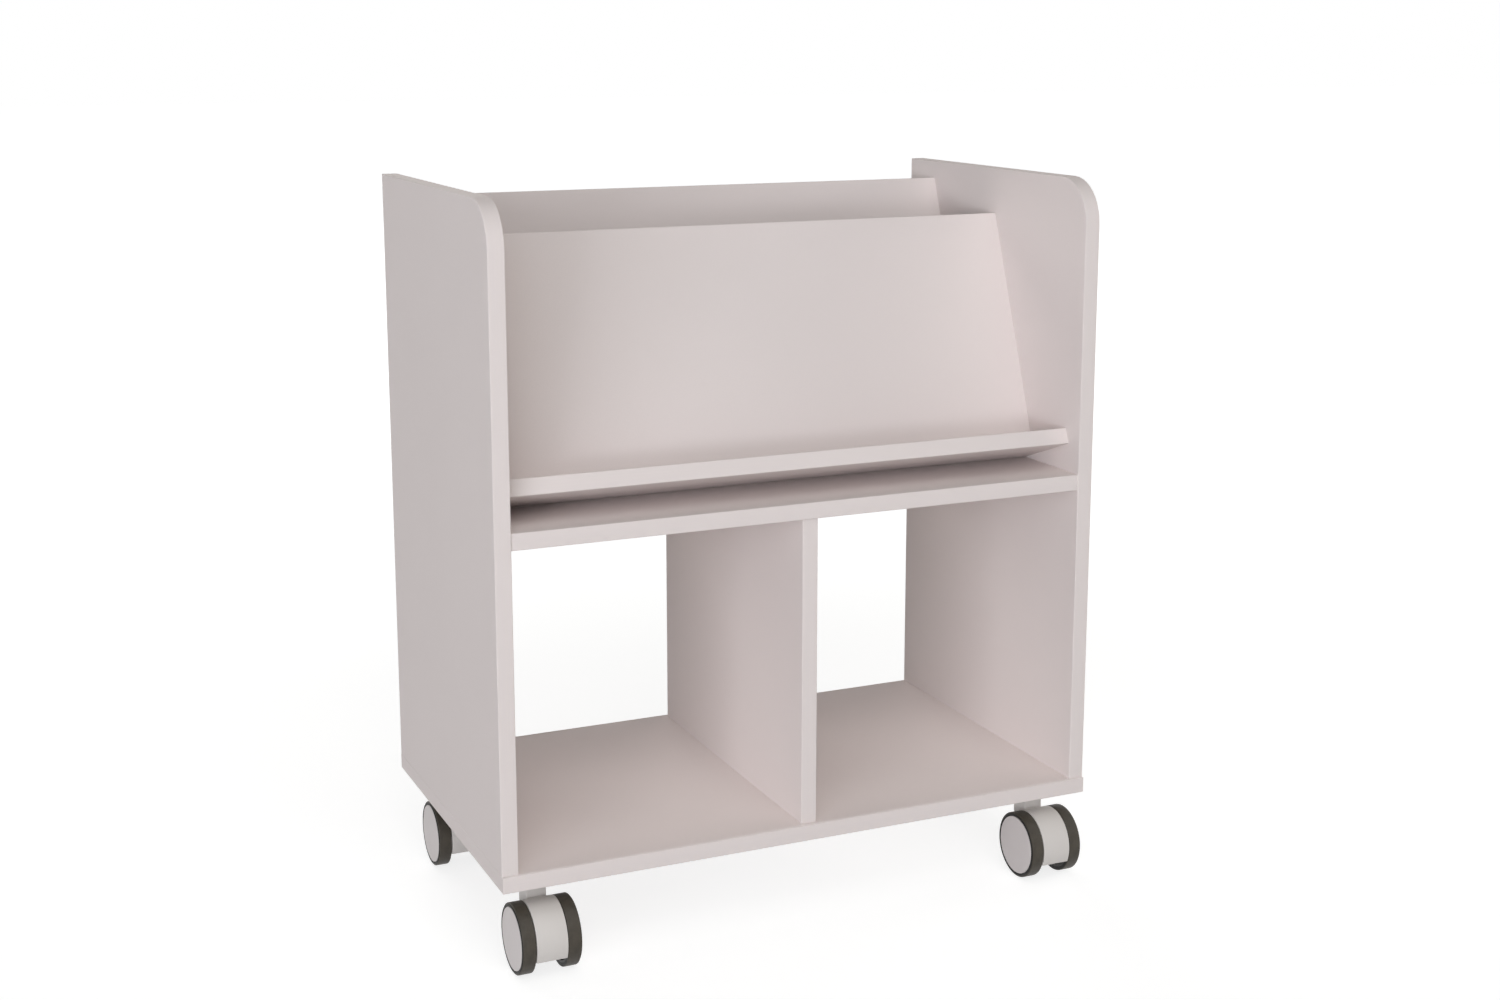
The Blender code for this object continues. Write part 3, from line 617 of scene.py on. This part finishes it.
def neck_mesh(top, bore_bottom, bottom, trail, radius, axis_z):
    """The hood's square neck, its origin on the swivel axis at the floor."""
    half_width, half_depth = NECK_WIDTH / 2, NECK_DEPTH / 2
    drum_back = math.sqrt(radius**2 - (bottom - axis_z) ** 2) - trail
    outline = [
        (-half_depth, bottom),
        (drum_back - HOOD_WALL / 2, bottom),
        (half_depth, bore_bottom),
        (half_depth, top),
        (-half_depth, top),
    ]
    bm = bmesh.new()
    ends = [[bm.verts.new((x, y, z)) for y, z in outline] for x in (-half_width, half_width)]
    bm.faces.new(ends[0])
    bm.faces.new(ends[1])
    for i in range(len(outline)):
        j = (i + 1) % len(outline)
        bm.faces.new((ends[0][i], ends[0][j], ends[1][j], ends[1][i]))
    uprights = []
    for edge in bm.edges:
        a, b = (v.co for v in edge.verts)
        if a.x == b.x and a.z != b.z:
            uprights.append(edge)
    bmesh.ops.bevel(bm, geom=uprights, offset=NECK_CORNER, segments=ARC_STEPS, profile=0.5, affect="EDGES")
    return to_mesh("neck", bm, [HOOD_PLASTIC])


def hood_mesh():
    """The moulded hood: drum shell, middle web, axle boss and neck, its origin on the swivel axis at the floor."""
    low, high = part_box("front_left_caster_hood")
    swivel = middle_of("front_left_kingpin")
    axle = middle_of("front_left_axle")
    trail = swivel.y - axle.y
    radius, half = axle.y - low.y + HOOD_FULLER, (high.x - low.x) / 2 + HOOD_WIDER
    axle_radius = size_of("front_left_axle").z / 2
    bore = axle_radius + CLEARANCE
    boss, shell, web = axle_radius + HOOD_BOSS_WALL, radius - HOOD_WALL, HOOD_WEB / 2
    one_side = [(half, bore), (half, boss), (web, boss), (web, shell), (half, shell)]
    one_side += arc(half - HOOD_EDGE, radius - HOOD_EDGE, HOOD_EDGE, 0, 90)
    profile = one_side + [(-along, r) for along, r in reversed(one_side)]
    drum = turned("hood", profile, [HOOD_PLASTIC])
    drum.transform(Matrix.Translation((0, -trail, axle.z)))
    bore_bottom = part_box("front_left_kingpin")[0].z - CLEARANCE
    neck = neck_mesh(high.z, bore_bottom, bore_bottom - NECK_FLOOR, trail, radius, axle.z)
    pin_profile = [(0, 0), (0, PIN_BORE), (PIN_BORE_LENGTH, PIN_BORE), (PIN_BORE_LENGTH, 0)]
    pin = turned("pin_bore", pin_profile, [HOOD_PLASTIC], steps=PIN_STEPS)
    pin.transform(Matrix.Translation((0, 0, bore_bottom)) @ X_AXIS_UP)
    # opens the drum below
    below = block("below", (-half * 2, -trail - 2 * radius, -low.z), (half * 2, radius, low.z), [HOOD_PLASTIC])
    return combined(drum, [neck], [pin, below])


def axle_mesh():
    """A plain pin with chamfered ends, along X about its middle."""
    size = size_of("front_left_axle")
    half, radius = size.x / 2, size.z / 2
    profile = [(half, 0), (half, radius - AXLE_CHAMFER), (half - AXLE_CHAMFER, radius)]
    profile += [(-along, r) for along, r in reversed(profile)]
    return turned("axle", profile, [ZINC], steps=PIN_STEPS)


def washer_mesh():
    """The thrust washer round the kingpin, about its middle."""
    half = size_of("front_left_swivel_washer").z / 2
    profile = [
        (half, PIN_BORE),
        (half, WASHER_RADIUS - WASHER_EDGE),
        (half - WASHER_EDGE, WASHER_RADIUS),
        (WASHER_EDGE - half, WASHER_RADIUS),
        (-half, WASHER_RADIUS - WASHER_EDGE),
        (-half, PIN_BORE),
    ]
    mesh = turned("washer", profile, [WASHER_PLASTIC], steps=WASHER_STEPS)
    mesh.transform(X_AXIS_UP)
    return mesh


def screw_mesh(plate_thickness):
    """A pan-head screw with a cross recess, its head hanging below the origin and its shank in the plate."""
    profile = [(0, 0)]
    for i in range(1, ARC_STEPS + 1):
        turn = math.pi / 2 * i / ARC_STEPS
        profile.append((SCREW_RISE * SCREW_DOME * (1 - math.cos(turn)), SCREW_HEAD * math.sin(turn)))
    profile += [(SCREW_RISE, SCREW_HEAD), (SCREW_RISE, SCREW_SHANK)]
    profile += [(SCREW_RISE + plate_thickness, SCREW_SHANK), (SCREW_RISE + plate_thickness, 0)]
    head = turned("screw", profile, [ZINC], steps=PIN_STEPS)
    narrow, wide = SCREW_CROSS / 2, SCREW_CROSS_REACH
    slots = [
        block("slot", (-SCREW_CROSS_START, -y, -z), (SCREW_CROSS_DEPTH, y, z), [ZINC])
        for y, z in ((narrow, wide), (wide, narrow))
    ]
    mesh = combined(head, cut=slots)
    mesh.transform(Matrix.Translation((0, 0, -SCREW_RISE)) @ X_AXIS_UP)
    return mesh


def make_casters():
    """Finer casters in the places of the CAD ones, and the screws that hold their plates."""
    tyres = {name: tyre_mesh(side) for name, side in SIDES.items()}
    discs = {name: wheel_mesh(side) for name, side in SIDES.items()}
    hood, axle, washer = hood_mesh(), axle_mesh(), washer_mesh()
    screw = screw_mesh(size_of("front_left_caster_plate").z)
    for corner in CORNERS:
        caster = f"{corner}_caster"
        swivel = middle_of(f"{corner}_kingpin")
        on_floor = (swivel.x, swivel.y, 0)
        place(f"{corner}_hood", hood, on_floor, caster, [f"{corner}_caster_hood"])
        node = f"{corner}_axle"
        place(f"{corner}_axle_pin", axle, middle_of(node), caster, [node])
        node = f"{corner}_swivel_washer"
        place(f"{corner}_washer", washer, middle_of(node), caster, [node])
        for name in SIDES:
            wheel = f"{corner}_{name}_wheel"
            node = f"{corner}_{name}_tyre"
            centre = middle_of(node)
            place(f"{wheel}_tyre", tyres[name], centre, wheel, [node])
            place(f"{wheel}_disc", discs[name], centre, wheel, [f"{wheel}_centre"])
        low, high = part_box(f"{corner}_caster_plate")
        spots = [
            (x, y, low.z)
            for x in (low.x + SCREW_INSET, high.x - SCREW_INSET)
            for y in (low.y + SCREW_INSET, high.y - SCREW_INSET)
        ]
        for i, spot in enumerate(spots):
            place(f"{corner}_plate_screw_{i + 1}", screw, spot, "carcass")


def make_camera():
    """The photograph's view of the unit."""
    camera = bpy.data.objects.new("camera", bpy.data.cameras.new("camera"))
    bpy.context.collection.objects.link(camera)
    camera.location = CAMERA_PLACE
    camera.rotation_euler = (math.pi / 2 - CAMERA_TILT, 0, -CAMERA_TURN)
    camera.data.sensor_width = CAMERA_SENSOR
    camera.data.lens = CAMERA_LENS
    camera.data.shift_y = CAMERA_SHIFT
    bpy.context.scene.camera = camera


def seen_directly(tree):
    """One where a ray comes from the camera, a reflection or glass, so that these see the white background."""
    path = tree.nodes.new("ShaderNodeLightPath")
    seen = path.outputs["Is Camera Ray"]
    for name in ("Is Glossy Ray", "Is Transmission Ray"):
        either = tree.nodes.new("ShaderNodeMath")
        either.operation = "MAXIMUM"
        tree.links.new(seen, either.inputs[0])
        tree.links.new(path.outputs[name], either.inputs[1])
        seen = either.outputs[0]
    return seen


def make_world():
    """A white surround to look at, and a weak even sky for light."""
    world = bpy.data.worlds.new("studio")
    bpy.context.scene.world = world
    world.use_nodes = True
    tree = world.node_tree
    tree.nodes.clear()
    mix = tree.nodes.new("ShaderNodeMixShader")
    tree.links.new(seen_directly(tree), mix.inputs[0])
    for i, strength in enumerate((SKY, SKY_SEEN)):
        background = tree.nodes.new("ShaderNodeBackground")
        background.inputs["Color"].default_value = (1, 1, 1, 1)
        background.inputs["Strength"].default_value = strength
        tree.links.new(background.outputs[0], mix.inputs[1 + i])
    out = tree.nodes.new("ShaderNodeOutputWorld")
    tree.links.new(mix.outputs[0], out.inputs["Surface"])


def floor_material():
    """Matt grey to the light; where seen, a darker grey with a glow that brings it to white."""
    material = bpy.data.materials.new("floor")
    material.use_nodes = True
    tree = material.node_tree
    tree.nodes.clear()
    add, link = tree.nodes.new, tree.links.new
    matt, seen = add("ShaderNodeBsdfDiffuse"), add("ShaderNodeBsdfDiffuse")
    matt.inputs["Color"].default_value = (FLOOR_GREY, FLOOR_GREY, FLOOR_GREY, 1)
    seen.inputs["Color"].default_value = (FLOOR_SEEN_GREY, FLOOR_SEEN_GREY, FLOOR_SEEN_GREY, 1)
    distance = add("ShaderNodeVectorMath")
    distance.operation = "LENGTH"
    link(add("ShaderNodeTexCoord").outputs["Object"], distance.inputs[0])
    fade = add("ShaderNodeMapRange")
    fade.interpolation_type = "SMOOTHSTEP"
    fade.inputs["From Min"].default_value = FLOOR_NEAR
    fade.inputs["From Max"].default_value = FLOOR_FAR
    fade.inputs["To Min"].default_value = FLOOR_GLOW_NEAR
    fade.inputs["To Max"].default_value = FLOOR_GLOW_FAR
    link(distance.outputs["Value"], fade.inputs["Value"])
    glow = add("ShaderNodeEmission")
    link(fade.outputs["Result"], glow.inputs["Strength"])
    white = add("ShaderNodeAddShader")
    link(seen.outputs[0], white.inputs[0])
    link(glow.outputs[0], white.inputs[1])
    mix = add("ShaderNodeMixShader")
    link(seen_directly(tree), mix.inputs[0])
    link(matt.outputs[0], mix.inputs[1])
    link(white.outputs[0], mix.inputs[2])
    link(mix.outputs[0], add("ShaderNodeOutputMaterial").inputs["Surface"])
    return material


def make_floor():
    """A plain pale floor that shows white and keeps the unit's soft shadow."""
    bm = bmesh.new()
    bmesh.ops.create_grid(bm, x_segments=2, y_segments=2, size=FLOOR_HALF)
    mesh = bpy.data.meshes.new("floor")
    bm.to_mesh(mesh)
    bm.free()
    mesh.materials.append(floor_material())
    floor = bpy.data.objects.new("floor", mesh)
    bpy.context.collection.objects.link(floor)


def make_lamps():
    """Soft rectangular lamps, each turned to the unit's middle."""
    for name, (right, up, width, height, watts, colour) in LAMPS.items():
        data = bpy.data.lights.new(name, "AREA")
        data.shape = "RECTANGLE"
        data.size = width
        data.size_y = height
        data.energy = watts
        data.color = colour
        lamp = bpy.data.objects.new(name, data)
        bpy.context.collection.objects.link(lamp)
        turn, rise = math.radians(right), math.radians(up)
        away = Vector((math.sin(turn) * math.cos(rise), -math.cos(turn) * math.cos(rise), math.sin(rise)))
        lamp.location = AIM + LAMP_DISTANCE * away
        lamp.rotation_euler = away.to_track_quat("Z", "Y").to_euler()


dress_cad_nodes()
make_joints()
make_casters()
make_camera()
make_world()
make_floor()
make_lamps()
bpy.context.scene.view_settings.view_transform = "Standard"
